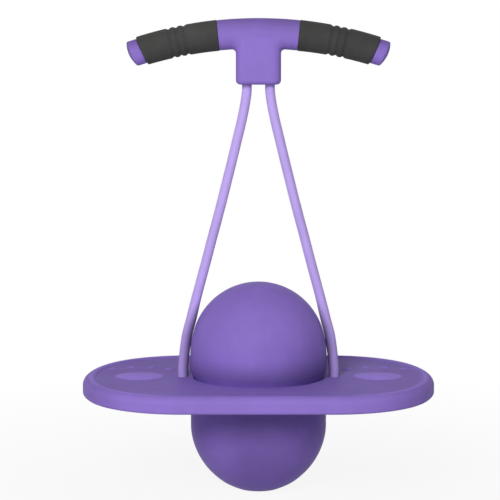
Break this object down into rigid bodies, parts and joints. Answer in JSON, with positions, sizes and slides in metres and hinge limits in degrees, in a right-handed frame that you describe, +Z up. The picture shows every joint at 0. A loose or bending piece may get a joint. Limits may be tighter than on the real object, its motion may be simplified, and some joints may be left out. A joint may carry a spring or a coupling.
{
  "type": "pogo board",
  "caption": "Oval jumping board held round the waist of an air ball, with an arched T handle on an elastic cord that loops from one side of the deck to the other.",
  "frame": {"origin": "centre of the ball's flat foot on the ground", "axes": "+Z up along the ball's axis, +X along the deck's length, +Y to the back"},
  "size_m": [0.4, 0.28, 0.5355],
  "materials": {
    "ball_pvc": "satin",
    "plug_pvc": "satin",
    "deck_plastic": "satin",
    "cord": "matte",
    "stop_plastic": "matte",
    "handle_plastic": "satin",
    "screw_steel": "satin",
    "grip_rubber": "matte"
  },
  "bodies": {
    "ball": {"ball_skin": "ball_pvc"},
    "deck": {"deck": "deck_plastic", "left_cord_end": "cord", "right_cord_end": "cord", "left_cord_stop": "stop_plastic", "right_cord_stop": "stop_plastic", "valve_seat": "ball_pvc"},
    "valve_plug": {"valve_plug": "plug_pvc"},
    "cords": {"left_cord": "cord", "right_cord": "cord"},
    "cord_necks": {"left_cord_neck": "cord", "right_cord_neck": "cord"},
    "handle": {"cord_loop": "cord", "handle_front": "handle_plastic", "handle_rear": "handle_plastic", "handle_screws": "screw_steel", "left_grip": "grip_rubber", "right_grip": "grip_rubber", "left_end_cap": "handle_plastic", "right_end_cap": "handle_plastic"}
  },
  "joints": [
    {"name": "bounce", "type": "slide", "parent": "ball", "child": "deck", "axis": [0, 0, 1], "range_m": [-0.025, 0], "stiffness_N_per_m": 20000, "deforming": ["ball_skin"]},
    {"name": "sway", "type": "hinge", "parent": "deck", "child": "cords", "pos_m": [0, 0, 0.129], "axis": [1, 0, 0], "range_deg": [-75, 75], "stiffness_Nm_per_rad": 6},
    {"name": "stretch", "type": "slide", "parent": "cords", "child": "cord_necks", "axis": [0, 0, 1], "range_m": [0, 0.08], "stiffness_N_per_m": 500, "deforming": ["left_cord", "right_cord"]},
    {"name": "tilt", "type": "hinge", "parent": "cord_necks", "child": "handle", "pos_m": [0, 0, 0.4615], "axis": [1, 0, 0], "range_deg": [-35, 35], "stiffness_Nm_per_rad": 1.5, "deforming": ["left_cord_neck", "right_cord_neck"]},
    {"name": "pull", "type": "slide", "parent": "deck", "child": "valve_plug", "axis": [0, 0.766, 0.6428], "range_m": [0, 0.015]}
  ]
}
